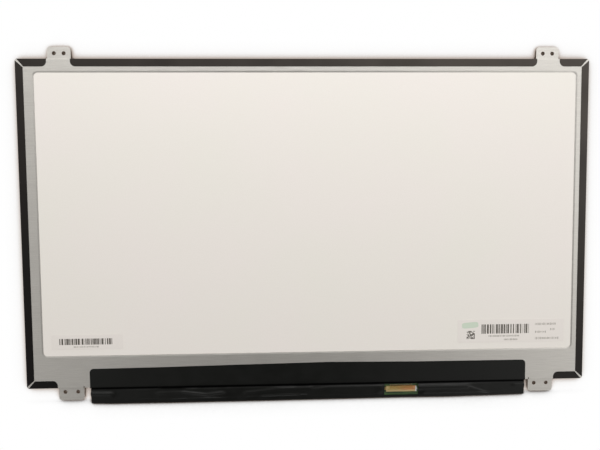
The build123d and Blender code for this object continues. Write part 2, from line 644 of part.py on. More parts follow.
contact_starts = []
for number in range(CONTACT_COUNT):
    contact_starts.append(socket_x - contact_run / 2 + number * CONTACT_PITCH)
with BuildPart() as signal_socket_contacts:
    with BuildSketch(*[Plane.YZ.offset(start) for start in contact_starts]):
        with BuildLine():
            Polyline(
                (trough.lower + TROUGH_SIDE_GAP, trough_floor),
                (socket.upper + CONTACT_TAIL / 4, trough_floor),
                (socket.upper + CONTACT_TAIL / 2, board_rear),
                (socket.upper + CONTACT_TAIL, board_rear),
            )
            offset(amount=CONTACT_SHEET, side=Side.LEFT, kind=Kind.INTERSECTION)
        make_face()
    extrude(amount=CONTACT_WIDTH)
write(signal_socket_contacts, "signal_socket_contacts")

shell_side = grown(housing, SHELL_SHEET, 0, 0)
with BuildPart() as signal_socket_shell:
    with BuildSketch(Plane.XY.offset(housing_top)):
        rectangle(Plan(shell_side.left, shell_side.right, socket.lower, socket.lower + SHELL_BAR_DEPTH))
        rectangle(Plan(shell_side.left, housing.left + SHELL_SIDE_LAP, socket.lower, socket.upper))
        rectangle(Plan(housing.right - SHELL_SIDE_LAP, shell_side.right, socket.lower, socket.upper))
    extrude(amount=SHELL_SHEET)
    with BuildSketch(Plane.XY.offset(board_rear)):
        rectangle(Plan(shell_side.left, housing.left, socket.lower, socket.upper))
        rectangle(Plan(housing.right, shell_side.right, socket.lower, socket.upper))
    extrude(amount=housing_top - board_rear)
    with BuildSketch(Plane.XY.offset(board_rear)):
        foot_middle = (socket.lower + socket.upper) / 2
        foot_inset = (SHELL_FOOT_WIDTH + SHELL_SHEET) / 2 - SHELL_SHEET
        with Locations((housing.left - foot_inset, foot_middle), (housing.right + foot_inset, foot_middle)):
            Rectangle(SHELL_FOOT_WIDTH - SHELL_SHEET, SHELL_FOOT_DEPTH)
    extrude(amount=SHELL_SHEET)
write(signal_socket_shell, "signal_socket_shell")

# Board cover film: it lies on the chassis, drops over the body's lower edge, tents over the tall parts of the
# board, hugs the board in front of the socket and wraps round the board's lower edge to the display side
Tent = namedtuple("Tent", "x half_width rear_lift front_lift")
low_lift = max(item.height for item in CHIPS.values()) + COVER_CLEARANCE
socket_lift = SOCKET_HEIGHT + COVER_CLEARANCE
tents = [Tent(socket_x, SOCKET_WIDTH / 2 + COVER_WINDOW_SIDE_GAP, socket_lift, COVER_CLEARANCE)]
for item in INDUCTORS.values():
    inductor_lift = item.height + COVER_CLEARANCE
    tents.append(Tent(board_x(item.datum, item.x), item.width / 2, inductor_lift, inductor_lift))


def tent_share(tent, x):
    """One over the tall part, falling to zero at the foot of the film's slope beside it."""
    past_top = abs(x - tent.x) - tent.half_width - COVER_TENT_MARGIN
    return min(1, max(0, 1 - past_top / COVER_TENT_RUN))


def cover_lifts(x):
    """Height of the film over the board, along its upper and its lower shoulder."""
    if x < board.left or x > board.right:
        return COVER_END_LIFT, COVER_END_LIFT
    tent = max(tents, key=lambda candidate: tent_share(candidate, x))
    share = tent_share(tent, x)
    return low_lift + share * (tent.rear_lift - low_lift), low_lift + share * (tent.front_lift - low_lift)


def cover_path(x):
    rear_lift, front_lift = cover_lifts(x)
    return [
        (body.lower + COVER_LAP, chassis_rear),
        (chassis.lower, chassis_rear),
        (body.lower - COVER_STANDOFF, chassis_rear - BEND_RADIUS),
        (board.upper - COVER_DROP_RUN, board_rear + rear_lift),
        (board.lower + COVER_SHOULDER, board_rear + front_lift),
        (board.lower, board_rear + COVER_CLEARANCE),
        (board.lower - COVER_EDGE_GAP, board_rear),
        (board.lower - COVER_EDGE_GAP, board_front),
        (board.lower, front_tape_front),
        (body.lower + COVER_FRONT_LAP, front_tape_front),
    ]


stations = [cover_left, board.left, board.right, cover_right]
for tent in tents:
    top_reach = tent.half_width + COVER_TENT_MARGIN
    foot_reach = top_reach + COVER_TENT_RUN
    stations += [tent.x - foot_reach, tent.x - top_reach, tent.x + top_reach, tent.x + foot_reach]
cover_window = Plan(
    socket.left - COVER_WINDOW_SIDE_GAP,
    socket.right + COVER_WINDOW_SIDE_GAP,
    socket.lower - COVER_WINDOW_FRONT_GAP,
    socket.upper + COVER_WINDOW_REAR_GAP,
)
with BuildPart() as board_cover_film:
    for x in sorted(stations):
        with BuildSketch(Plane.YZ.offset(x)):
            with BuildLine():
                Polyline(*cover_path(x))
                offset(amount=COVER_SHEET, side=Side.RIGHT, kind=Kind.INTERSECTION)
            make_face()
    loft(ruled=True)
    with BuildSketch(Plane.XY.offset(board_rear)):
        rectangle(cover_window)
    extrude(amount=chassis_rear, mode=Mode.SUBTRACT)
    upper_corners = board_cover_film.edges().filter_by(Axis.Z).group_by(Axis.Y)[-1]
    fillet(upper_corners, radius=COVER_CORNER)
    # parted along the window's sides, so that each solid lies to one side of the opening
    split(bisect_by=Plane.YZ.offset(cover_window.left), keep=Keep.BOTH)
    split(bisect_by=Plane.YZ.offset(cover_window.right), keep=Keep.BOTH)
write(board_cover_film, "board_cover_film")

# Paper labels stuck to the reflector inside the chassis window
product_label = Plan(
    window.right - PRODUCT_LABEL_SIDE_GAP - PRODUCT_LABEL_WIDTH,
    window.right - PRODUCT_LABEL_SIDE_GAP,
    window.lower + PRODUCT_LABEL_LOWER_GAP,
    window.lower + PRODUCT_LABEL_LOWER_GAP + PRODUCT_LABEL_HEIGHT,
)
serial_label = Plan(
    window.left + SERIAL_LABEL_SIDE_GAP,
    window.left + SERIAL_LABEL_SIDE_GAP + SERIAL_LABEL_WIDTH,
    window.lower + SERIAL_LABEL_LOWER_GAP,
    window.lower + SERIAL_LABEL_LOWER_GAP + SERIAL_LABEL_HEIGHT,
)
flat_piece("product_label", product_label, chassis_front, LABEL_SHEET, LABEL_CORNER)
flat_piece("serial_label", serial_label, chassis_front, LABEL_SHEET, LABEL_CORNER)
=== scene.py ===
import math

import bpy
import numpy
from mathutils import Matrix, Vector, noise


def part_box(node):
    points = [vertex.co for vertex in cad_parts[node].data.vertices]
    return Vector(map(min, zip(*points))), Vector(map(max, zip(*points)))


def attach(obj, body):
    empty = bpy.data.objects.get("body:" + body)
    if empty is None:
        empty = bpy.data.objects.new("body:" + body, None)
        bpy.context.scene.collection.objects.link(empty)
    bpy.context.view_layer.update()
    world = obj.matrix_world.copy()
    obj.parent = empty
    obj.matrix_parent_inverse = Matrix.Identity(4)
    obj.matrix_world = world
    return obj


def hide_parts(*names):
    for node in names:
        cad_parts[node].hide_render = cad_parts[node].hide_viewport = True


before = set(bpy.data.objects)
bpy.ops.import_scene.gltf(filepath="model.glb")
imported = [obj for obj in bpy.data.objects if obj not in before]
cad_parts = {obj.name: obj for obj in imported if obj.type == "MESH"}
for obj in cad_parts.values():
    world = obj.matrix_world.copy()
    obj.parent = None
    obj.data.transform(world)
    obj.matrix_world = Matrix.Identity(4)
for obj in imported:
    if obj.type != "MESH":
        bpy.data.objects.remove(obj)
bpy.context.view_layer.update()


# ---------------------------------------------------------------------------------------------------------------
# Display cell: two thin sheets of alkali-free glass sealed round the liquid crystal, with a dyed polarising film
# laid on each outer face. The panel lies on the front film, whose hard coat is rolled with an anti-glare haze.

def linear(hex_colour):
    """The linear RGBA of an sRGB hex colour."""
    channels = (int(hex_colour[i:i + 2], 16) / 255 for i in (1, 3, 5))
    return (*(c / 12.92 if c <= 0.04045 else ((c + 0.055) / 1.055) ** 2.4 for c in channels), 1.0)


def add(tree, kind, sockets=None, give=None, **settings):
    """Adds a node with its settings, gives its sockets values or links, and returns one of its outputs."""
    node = tree.nodes.new(kind)
    for name, value in settings.items():
        setattr(node, name, value)
    for name, value in (sockets or {}).items():
        if isinstance(name, int):
            socket = node.inputs[name]
        else:
            socket = next(s for s in node.inputs if s.enabled and s.name == name)
        if isinstance(value, bpy.types.NodeSocket):
            tree.links.new(value, socket)
        else:
            socket.default_value = value
    return next((s for s in node.outputs if s.enabled and give in (None, s.name)), None)


def new_finish(name):
    """An empty material, its tree, and the object coordinates that its pattern is laid on."""
    finish = bpy.data.materials.new(name)
    finish.use_nodes = True
    finish.node_tree.nodes.clear()
    return finish, finish.node_tree, add(finish.node_tree, "ShaderNodeTexCoord", give="Object")


def dress(finish, *names):
    """Puts a finish on CAD nodes in place of the plain one that they come with."""
    for name in names:
        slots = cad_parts[name].data.materials
        slots.clear()
        slots.append(finish)


def blend(tree, share, first, second):
    """A colour between two others, by a share."""
    return add(tree, "ShaderNodeMix", {"Factor": share, "A": first, "B": second}, data_type="RGBA")


def spread(tree, value, low, high, from_low=0.0, from_high=1.0):
    """A value carried over from one range to another, and held within it."""
    return add(tree, "ShaderNodeMapRange", {
        "Value": value, "From Min": from_low, "From Max": from_high, "To Min": low, "To Max": high})


def coat(tree, sockets):
    """Ends a finish with its shader."""
    shader = add(tree, "ShaderNodeBsdfPrincipled", sockets)
    add(tree, "ShaderNodeOutputMaterial", {"Surface": shader})


# Dyed triacetate with an anti-glare coat: a deep neutral black with a soft haze over it. Inside the printed black
# mask the picture area is a shade lighter. The coat's grit is about 0.03 mm, drawn 0.3 mm wide so that it shows.
polariser, tree, place = new_finish("anti_glare_polariser")
PICTURE_HALF = (172.08e-3, 96.795e-3)
PICTURE_MIDDLE = (0.0, 3.73e-3, 0.0)
from_middle = add(tree, "ShaderNodeVectorMath", {0: place, 1: PICTURE_MIDDLE}, operation="SUBTRACT")
from_middle = add(tree, "ShaderNodeVectorMath", {0: from_middle}, operation="ABSOLUTE")
across = add(tree, "ShaderNodeSeparateXYZ", {"Vector": from_middle}, give="X")
along = add(tree, "ShaderNodeSeparateXYZ", {"Vector": from_middle}, give="Y")
across = add(tree, "ShaderNodeMath", {0: across, 1: PICTURE_HALF[0]}, operation="LESS_THAN")
along = add(tree, "ShaderNodeMath", {0: along, 1: PICTURE_HALF[1]}, operation="LESS_THAN")
picture = add(tree, "ShaderNodeMath", {0: across, 1: along}, operation="MULTIPLY")
dye = blend(tree, picture, linear("#060607"), linear("#121418"))
grit = add(tree, "ShaderNodeTexNoise", {"Vector": place, "Scale": 1 / 0.3e-3, "Detail": 3.0})
haze = spread(tree, grit, 0.34, 0.48)
relief = add(tree, "ShaderNodeBump", {"Height": grit, "Strength": 0.25, "Distance": 0.02e-3})
coat(tree, {
    "Base Color": dye, "Roughness": haze, "IOR": 1.49, "Normal": relief})
dress(polariser, "front_polariser", "rear_polariser")

# Fusion-drawn glass, 0.4 mm: clear, with a faint cool tint at the cut edge and a nearly perfect surface. The draw
# leaves long shallow waves about 15 mm apart.
glass, tree, place = new_finish("alkali_free_glass")
draw = add(tree, "ShaderNodeMapping", {"Vector": place, "Scale": (1 / 60e-3, 1 / 15e-3, 1 / 15e-3)})
wave = add(tree, "ShaderNodeTexNoise", {"Vector": draw, "Scale": 1.0, "Detail": 1.0})
relief = add(tree, "ShaderNodeBump", {"Height": wave, "Strength": 0.2, "Distance": 0.01e-3})
polish = spread(tree, wave, 0.02, 0.06)
coat(tree, {
    "Base Color": linear("#dfe9e6"), "Roughness": polish, "IOR": 1.51, "Transmission Weight": 0.9, "Normal": relief})
dress(glass, "colour_filter_glass", "array_glass")


# ---------------------------------------------------------------------------------------------------------------
# Rim tape: a narrow frame of black double-sided polyester tape that bonds the cell to the backlight and keeps
# stray light in. It is slit from a roll and laid in place.

# Matt-coated polyester tape: a warm black with a leathery micro-relief about 0.4 mm wide. A painted sheen turns it
# grey towards the panel's upper right, where the light falls, unevenly in patches some 25 mm across.
tape, tree, place = new_finish("matt_black_polyester_tape")
pebble = add(tree, "ShaderNodeTexNoise", {"Vector": place, "Scale": 1 / 0.4e-3, "Detail": 3.0, "Roughness": 0.6})
patch = add(tree, "ShaderNodeTexNoise", {"Vector": place, "Scale": 1 / 25e-3, "Detail": 2.0})
# Painted sheen: lighter towards the upper right, where the light falls, and uneven in patches.
painted_sheen = add(tree, "ShaderNodeVectorMath", {0: place, 1: (0.38, 0.92, 0.0)}, give="Value", operation="DOT_PRODUCT")
painted_sheen = spread(tree, painted_sheen, 0.0, 1.0, -155e-3, 140e-3)
painted_sheen = add(tree, "ShaderNodeMath", {0: painted_sheen, 1: 2.0}, operation="POWER")
uneven = spread(tree, patch, 0.85, 1.15, 0.3, 0.7)
painted_sheen = add(tree, "ShaderNodeMath", {0: painted_sheen, 1: uneven}, operation="MULTIPLY")
black = blend(tree, painted_sheen, linear("#0a0605"), linear("#48423d"))
rough = spread(tree, patch, 0.36, 0.46, 0.3, 0.7)
relief = add(tree, "ShaderNodeBump", {"Height": pebble, "Strength": 0.35, "Distance": 0.03e-3})
coat(tree, {
    "Base Color": black, "Roughness": rough, "IOR": 1.3, "Normal": relief})
dress(tape, "cell_rim_tape")


# ---------------------------------------------------------------------------------------------------------------
# Mould frame: the thin white frame that carries the cell on one side and the backlight sheets on the other. It is
# injection moulded in glass-filled polycarbonate and clips into the steel chassis.

# White polycarbonate from a spark-eroded mould: satin, faintly translucent, with a grain of about 0.15 mm, drawn
# 0.4 mm wide so that it shows.
moulding, tree, place = new_finish("white_polycarbonate")
grain = add(tree, "ShaderNodeTexNoise", {"Vector": place, "Scale": 1 / 0.4e-3, "Detail": 2.0})
tone = add(tree, "ShaderNodeTexNoise", {"Vector": place, "Scale": 1 / 30e-3})
white = blend(tree, tone, linear("#e4e1d9"), linear("#efede6"))
rough = spread(tree, grain, 0.40, 0.56)
relief = add(tree, "ShaderNodeBump", {"Height": grain, "Strength": 0.2, "Distance": 0.02e-3})
coat(tree, {
    "Base Color": white, "Roughness": rough, "IOR": 1.58, "Normal": relief})
dress(moulding, "mould_frame")


# ---------------------------------------------------------------------------------------------------------------
# Light sheets: two frosted diffusers and two prism sheets of clear polyester, die cut and laid loose in the mould
# frame over the light guide, an acrylic plate with a printed pattern of dots.

# Coated polyester film: milky, with fine parallel prisms that draw the sheen out crosswise. The prisms are 0.05 mm
# apart, drawn 0.5 mm apart so that they show.
light_film, tree, place = new_finish("prism_polyester_film")
prisms = add(tree, "ShaderNodeTexWave", {"Vector": place, "Scale": math.pi / 10 / 0.5e-3}, give="Fac",
             bands_direction="Y", wave_profile="TRI")
frost = add(tree, "ShaderNodeTexNoise", {"Vector": place, "Scale": 1 / 0.6e-3})
rough = spread(tree, frost, 0.45, 0.65)
relief = add(tree, "ShaderNodeBump", {"Height": prisms, "Strength": 0.3, "Distance": 0.05e-3})
coat(tree, {
    "Base Color": linear("#e9ebe9"), "Roughness": rough, "IOR": 1.57, "Normal": relief})
dress(light_film, "upper_diffuser_sheet", "upper_prism_sheet", "lower_prism_sheet", "lower_diffuser_sheet")

# Cast acrylic with white dots printed on its rear, which throw the edge light forward: clear between the dots,
# chalky on them. The dots lie about 1 mm apart.
light_guide, tree, place = new_finish("dotted_acrylic")
dots = add(tree, "ShaderNodeTexVoronoi", {"Vector": place, "Scale": 1 / 1.0e-3, "Randomness": 0.35})
chalk = spread(tree, dots, 0.6, 0.08, 0.25, 0.32)
colour = blend(tree, chalk, linear("#e6f0f0"), linear("#ffffff"))
coat(tree, {
    "Base Color": colour, "Roughness": chalk, "IOR": 1.49, "Transmission Weight": 0.6})
dress(light_guide, "light_guide_plate")


# ---------------------------------------------------------------------------------------------------------------
# Reflector sheet: the white film that shows through the chassis window. It is polyester foamed with tiny voids,
# die cut, and lies loose between the light guide and the steel.

# Micro-voided polyester: a warm satin white with almost no grain. Slow tone changes some 70 mm across come from the
# light guide behind it, and a fine tooth of about 0.2 mm, drawn 0.7 mm wide, breaks the sheen up.
reflector, tree, place = new_finish("voided_white_polyester")
cloud = add(tree, "ShaderNodeTexNoise", {"Vector": place, "Scale": 1 / 70e-3, "Detail": 3.0, "Roughness": 0.45})
tooth = add(tree, "ShaderNodeTexNoise", {"Vector": place, "Scale": 1 / 0.7e-3, "Detail": 3.0})
white = blend(tree, spread(tree, cloud, 0.0, 1.0, 0.3, 0.7), linear("#f6efea"), linear("#f4f0e8"))
white = blend(tree, spread(tree, tooth, 0.0, 0.35, 0.3, 0.7), white, linear("#eee8e0"))
rough = spread(tree, tooth, 0.48, 0.62)
relief = add(tree, "ShaderNodeBump", {"Height": tooth, "Strength": 0.08, "Distance": 0.05e-3})
coat(tree, {
    "Base Color": white, "Roughness": rough, "IOR": 1.45, "Normal": relief})
dress(reflector, "reflector_sheet")


# ---------------------------------------------------------------------------------------------------------------
# Backlight strip: a row of white light-emitting diodes soldered to a narrow polyimide circuit along the lower edge
# of the light guide, with a tail that folds round to the driver board.

# Moulded white package round a yellow phosphor: satin, with the phosphor's grain about 0.1 mm, drawn 0.3 mm wide.
diode, tree, place = new_finish("phosphor_diode")
grain = add(tree, "ShaderNodeTexNoise", {"Vector": place, "Scale": 1 / 0.3e-3})
colour = blend(tree, grain, linear("#f0e6a8"), linear("#f4f0d6"))
rough = spread(tree, grain, 0.35, 0.55)
coat(tree, {"Base Color": colour, "Roughness": rough, "IOR": 1.5})
dress(diode, "backlight_leds")

# Polyimide over etched copper: amber and glossy, with the tracks showing as darker lines 0.4 mm apart that raise
# the surface a little.
flex, tree, place = new_finish("amber_polyimide")
tracks = add(tree, "ShaderNodeTexWave", {"Vector": place, "Scale": math.pi / 10 / 0.4e-3}, give="Fac")
tracks = spread(tree, tracks, 0.0, 1.0, 0.45, 0.55)
colour = blend(tree, tracks, linear("#c98a3a"), linear("#9a5c22"))
rough = spread(tree, tracks, 0.22, 0.32)
relief = add(tree, "ShaderNodeBump", {"Height": tracks, "Strength": 0.5, "Distance": 0.018e-3})
coat(tree, {
    "Base Color": colour, "Roughness": rough, "IOR": 1.7, "Normal": relief})
dress(flex, "led_flex_circuit")


# ---------------------------------------------------------------------------------------------------------------
# Rear chassis: one sheet of zinc-plated steel, 0.3 mm, blanked with its window and screw ears, then folded along
# the sides. The mould frame snaps into it, and everything else is built on it.

# Electro-galvanised cold-rolled steel: a pale satin grey. Rolling leaves faint streaks along the sheet, about
# 0.5 mm wide and 12 mm long, and the zinc gives a fine grit of about 0.1 mm, drawn 0.5 mm wide so that it shows.
steel, tree, place = new_finish("zinc_plated_steel")
rolled = add(tree, "ShaderNodeMapping", {"Vector": place, "Scale": (1 / 12e-3, 1 / 0.5e-3, 1 / 0.5e-3)})
streak = add(tree, "ShaderNodeTexNoise", {"Vector": rolled, "Scale": 1.0, "Detail": 2.0})
grit = add(tree, "ShaderNodeTexNoise", {"Vector": place, "Scale": 1 / 0.5e-3, "Detail": 4.0, "Roughness": 0.65})
both = add(tree, "ShaderNodeMix", {"Factor": 0.6, "A": streak, "B": grit}, data_type="FLOAT")
grey = blend(tree, spread(tree, both, 0.0, 1.0, 0.35, 0.65), linear("#d3cfc9"), linear("#e5e2dc"))
rough = spread(tree, both, 0.42, 0.54, 0.3, 0.7)
relief = add(tree, "ShaderNodeBump", {"Height": both, "Strength": 0.35, "Distance": 0.03e-3})
coat(tree, {
    "Base Color": grey, "Metallic": 1.0, "Roughness": rough, "Normal": relief})
dress(steel, "rear_chassis")


# ---------------------------------------------------------------------------------------------------------------
# Driver films: four polyimide films, each with a bare silicon driver chip, bonded to the edge of the array glass
# and bent round to the driver board. The tape across the front covers their bonds and the glass ledge.

dress(flex, *(f"driver_film_{number}" for number in range(1, 5)))
dress(tape, "lower_front_tape")

# Thinned silicon: a slate mirror with grinding marks about 0.05 mm apart, drawn 0.3 mm apart so that they show.
silicon, tree, place = new_finish("ground_silicon")
ground = add(tree, "ShaderNodeTexWave", {"Vector": place, "Scale": math.pi / 10 / 0.3e-3, "Distortion": 1.5},
             give="Fac", bands_direction="DIAGONAL")
rough = spread(tree, ground, 0.16, 0.28)
relief = add(tree, "ShaderNodeBump", {"Height": ground, "Strength": 0.1, "Distance": 0.01e-3})
coat(tree, {
    "Base Color": linear("#4d5056"), "Metallic": 0.6, "Roughness": rough, "Normal": relief})
dress(silicon, *(f"driver_chip_{number}" for number in range(1, 5)))


# ---------------------------------------------------------------------------------------------------------------
# Driver board: a long strip of glass-epoxy laminate below the chassis, with the parts that drive the picture and
# the backlight soldered to its rear face.

# Green solder mask over copper tracks: glossy, darker over bare laminate and lighter over the tracks, which run
# along the board about 0.8 mm apart.
laminate, tree, place = new_finish("green_solder_mask")
routed = add(tree, "ShaderNodeMapping", {"Vector": place, "Scale": (1 / 9e-3, 1 / 0.8e-3, 1 / 0.8e-3)})
tracks = add(tree, "ShaderNodeTexNoise", {"Vector": routed, "Scale": 1.0, "Detail": 0.0})
tracks = spread(tree, tracks, 0.0, 1.0, 0.47, 0.53)
green = blend(tree, tracks, linear("#31482b"), linear("#466139"))
rough = spread(tree, tracks, 0.38, 0.28)
relief = add(tree, "ShaderNodeBump", {"Height": tracks, "Strength": 0.5, "Distance": 0.03e-3})
coat(tree, {
    "Base Color": green, "Roughness": rough, "IOR": 1.55, "Normal": relief})
dress(laminate, "driver_board")

# Transfer-moulded epoxy: a dry charcoal black with a sand-blasted grain of about 0.1 mm, drawn 0.25 mm wide.
epoxy, tree, place = new_finish("moulded_epoxy")
grain = add(tree, "ShaderNodeTexNoise", {"Vector": place, "Scale": 1 / 0.25e-3, "Detail": 3.0})
black = blend(tree, grain, linear("#1f1f20"), linear("#2b2b2c"))
rough = spread(tree, grain, 0.5, 0.7)
relief = add(tree, "ShaderNodeBump", {"Height": grain, "Strength": 0.3, "Distance": 0.02e-3})
coat(tree, {
    "Base Color": black, "Roughness": rough, "IOR": 1.55, "Normal": relief})
dress(epoxy, "timing_controller_chip", "power_supply_chip", "backlight_driver_chip", "gamma_reference_chip",
      "memory_chip", "backlight_diode", "supply_diode")

# Fired barium titanate: a dull tan with a biscuit grain about 0.1 mm wide, drawn 0.2 mm wide.
ceramic, tree, place = new_finish("fired_tan_ceramic")
grain = add(tree, "ShaderNodeTexNoise", {"Vector": place, "Scale": 1 / 0.2e-3, "Detail": 3.0})
tan = blend(tree, grain, linear("#a9825c"), linear("#c29c74"))
rough = spread(tree, grain, 0.45, 0.6)
coat(tree, {"Base Color": tan, "Roughness": rough, "IOR": 1.6})
dress(ceramic, "board_fuse", "ceramic_capacitors")

# Sintered ferrite: dark slate grey and slightly metallic, with pores about 0.1 mm across, drawn 0.3 mm across.
ferrite, tree, place = new_finish("sintered_ferrite")
pores = add(tree, "ShaderNodeTexVoronoi", {"Vector": place, "Scale": 1 / 0.3e-3})
grey = blend(tree, pores, linear("#3d3d40"), linear("#5b5b5e"))
rough = spread(tree, pores, 0.6, 0.42)
coat(tree, {"Base Color": grey, "Roughness": rough, "IOR": 1.7})
dress(ferrite, "backlight_inductor", "logic_supply_inductor", "panel_supply_inductor")

# Glazed resistor film: black glass over alumina, glossy, with a slight orange peel about 0.2 mm wide.
glaze, tree, place = new_finish("black_resistor_glaze")
peel = add(tree, "ShaderNodeTexNoise", {"Vector": place, "Scale": 1 / 0.2e-3})
rough = spread(tree, peel, 0.2, 0.35)
relief = add(tree, "ShaderNodeBump", {"Height": peel, "Strength": 0.2, "Distance": 0.01e-3})
coat(tree, {
    "Base Color": linear("#1b1b1f"), "Roughness": rough, "IOR": 1.5, "Normal": relief})
dress(glaze, "chip_resistors")


# ---------------------------------------------------------------------------------------------------------------
# Signal socket: the flat socket for the display cable. A beige housing moulded in liquid-crystal polymer holds
# thirty gilded contacts, and a stamped shell clips over it. Tails and shell feet are soldered to the board.

# Liquid-crystal polymer: a warm tan, yellower towards the end where it was fed into the mould, with flow streaks
# along the housing about 0.3 mm wide and 4 mm long.
beige_plastic, tree, place = new_finish("liquid_crystal_polymer")
flow = add(tree, "ShaderNodeMapping", {"Vector": place, "Scale": (1 / 4e-3, 1 / 0.3e-3, 1 / 0.3e-3)})
streak = add(tree, "ShaderNodeTexNoise", {"Vector": flow, "Scale": 1.0, "Detail": 2.0})
fed = add(tree, "ShaderNodeSeparateXYZ", {"Vector": place}, give="X")
fed = spread(tree, fed, 0.0, 1.0, 57e-3, 63e-3)
dark = blend(tree, fed, linear("#8c7a4c"), linear("#96623f"))
pale = blend(tree, fed, linear("#b5a066"), linear("#c48f60"))
beige = blend(tree, streak, dark, pale)
rough = spread(tree, streak, 0.42, 0.56)
coat(tree, {"Base Color": beige, "Roughness": rough, "IOR": 1.6})
dress(beige_plastic, "signal_socket_housing")

# Phosphor bronze, tinned by dipping one end: a warm cream along the bar and bright silver at its right-hand end,
# with drawing marks along it, 0.15 mm wide, drawn 0.3 mm wide.
tin_plate, tree, place = new_finish("part_tinned_bronze")
drawn = add(tree, "ShaderNodeMapping", {"Vector": place, "Scale": (1 / 5e-3, 1 / 0.3e-3, 1 / 0.3e-3)})
marks = add(tree, "ShaderNodeTexNoise", {"Vector": drawn, "Scale": 1.0, "Detail": 2.0})
tinned = add(tree, "ShaderNodeSeparateXYZ", {"Vector": place}, give="X")
tinned = spread(tree, tinned, 0.0, 1.0, 69.2e-3, 69.6e-3)
bronze = blend(tree, marks, linear("#d9bd86"), linear("#ecd7a6"))
metal = blend(tree, tinned, bronze, linear("#f4f5f4"))
rough = spread(tree, marks, 0.40, 0.54)
coat(tree, {"Base Color": metal, "Metallic": 1.0, "Roughness": rough})
dress(tin_plate, "signal_socket_shell")

# Gold flash over nickel: a clean yellow gold, smooth, with plating grain about 0.05 mm, drawn 0.2 mm wide.
gold, tree, place = new_finish("gold_flash")
grain = add(tree, "ShaderNodeTexNoise", {"Vector": place, "Scale": 1 / 0.2e-3})
colour = blend(tree, grain, linear("#d9a850"), linear("#efc878"))
rough = spread(tree, grain, 0.22, 0.34)
coat(tree, {"Base Color": colour, "Metallic": 1.0, "Roughness": rough})
dress(gold, "signal_socket_contacts")


def plant(name, **inputs):
    """A node tree that adds to a mesh, with its named inputs, and the sockets that bring them in."""
    tree = bpy.data.node_groups.new(name, "GeometryNodeTree")
    tree.interface.new_socket("Geometry", in_out="INPUT", socket_type="NodeSocketGeometry")
    for label, kind in inputs.items():
        tree.interface.new_socket(label, in_out="INPUT", socket_type="NodeSocket" + kind)
    tree.interface.new_socket("Geometry", in_out="OUTPUT", socket_type="NodeSocketGeometry")
    return tree, tree.nodes.new("NodeGroupInput").outputs


def grow(name, tree, *rows):
    """A plain mesh piece, to which the tree is applied once for each row of values."""
    piece = bpy.data.objects.new(name, bpy.data.meshes.new(name))
    bpy.context.scene.collection.objects.link(piece)
    identifiers = {item.name: item.identifier for item in tree.interface.items_tree if item.in_out == "INPUT"}
    for row in rows:
        modifier = piece.modifiers.new(tree.name, "NODES")
        modifier.node_group = tree
        for label, value in row.items():
            modifier[identifiers[label]] = value
    graph = bpy.context.evaluated_depsgraph_get()
    mesh = bpy.data.meshes.new_from_object(piece.evaluated_get(graph), depsgraph=graph)
    piece.modifiers.clear()
    piece.data = mesh
    return piece


# A row of solder fillets: flat-topped mounds with sloping sides, all alike, at an even pitch along the board.
joints, given = plant("solder_row", Count="Int", Pitch="Float", First="Vector", Width="Float", Length="Float",
                      Height="Float", Solder="Material")
step = add(joints, "ShaderNodeCombineXYZ", {"X": given["Pitch"]})
line = add(joints, "GeometryNodeMeshLine", {
    "Count": given["Count"], "Start Location": given["First"], "Offset": step})
mound = add(joints, "GeometryNodeMeshCone", {
    "Vertices": 12, "Radius Top": 0.30, "Radius Bottom": 0.5, "Depth": 1.0})
size = add(joints, "ShaderNodeCombineXYZ", {"X": given["Width"], "Y": given["Length"], "Z": given["Height"]})
placed = add(joints, "GeometryNodeInstanceOnPoints", {"Points": line, "Instance": mound, "Scale": size})
solid = add(joints, "GeometryNodeRealizeInstances", {"Geometry": placed})
solid = add(joints, "GeometryNodeSetMaterial", {"Geometry": solid, "Material": given["Solder"]})
add(joints, "NodeGroupOutput", {"Geometry": solid})

# Reflowed tin-silver solder: a frosted silver grey, rippled where it froze, with dimples about 0.1 mm across.
solder, tree, place = new_finish("reflowed_solder")
dimples = add(tree, "ShaderNodeTexVoronoi", {"Vector": place, "Scale": 1 / 0.1e-3})
rough = spread(tree, dimples, 0.5, 0.65)
relief = add(tree, "ShaderNodeBump", {"Height": dimples, "Strength": 0.3, "Distance": 0.02e-3})
coat(tree, {
    "Base Color": linear("#f2f0e8"), "Metallic": 0.7, "Roughness": rough, "Normal": relief})

contacts_low, contacts_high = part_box("signal_socket_contacts")
board_low, board_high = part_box("driver_board")
CONTACTS = 30
CONTACT_PITCH = 0.5e-3
first_contact = (contacts_low.x + contacts_high.x - (CONTACTS - 1) * CONTACT_PITCH) / 2
FILLET = (0.38e-3, 0.95e-3, 0.12e-3)
socket_joints = grow("socket_solder_joints", joints, {
    "Count": CONTACTS, "Pitch": CONTACT_PITCH,
    "First": (first_contact, contacts_high.y - 0.45e-3, board_high.z),
    "Width": FILLET[0], "Length": FILLET[1], "Height": FILLET[2], "Solder": solder})
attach(socket_joints, "root")


# ---------------------------------------------------------------------------------------------------------------
# Board cover film: a thin black polyester film that insulates the driver board. It is stuck to the chassis along
# its upper half, falls over the board's parts, where it is loose and creased, and is tucked round the board to the
# front.

MM = 1e-3
film_low, film_high = (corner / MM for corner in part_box("board_cover_film"))
socket_low, socket_high = (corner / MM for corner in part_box("signal_socket_shell"))
board_low, board_high = board_low / MM, board_high / MM
body_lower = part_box("lower_left_edge_tape")[0].y / MM
FILM_THICK = 0.1
FILM_CORNER = 2.4
WINDOW_GAP = 0.40
window_left, window_right = socket_low.x - WINDOW_GAP, socket_high.x + WINDOW_GAP
window_upper, window_lower = board_high.y - 0.65, board_low.y + 0.25

column_x = numpy.unique(numpy.round(numpy.concatenate([
    numpy.arange(film_low.x, film_high.x, 0.65), [film_high.x, window_left, window_right],
    film_low.x + FILM_CORNER * (1 - numpy.cos(numpy.linspace(0, math.pi / 2, 8))),
    film_high.x - FILM_CORNER * (1 - numpy.cos(numpy.linspace(0, math.pi / 2, 8)))]), 4))

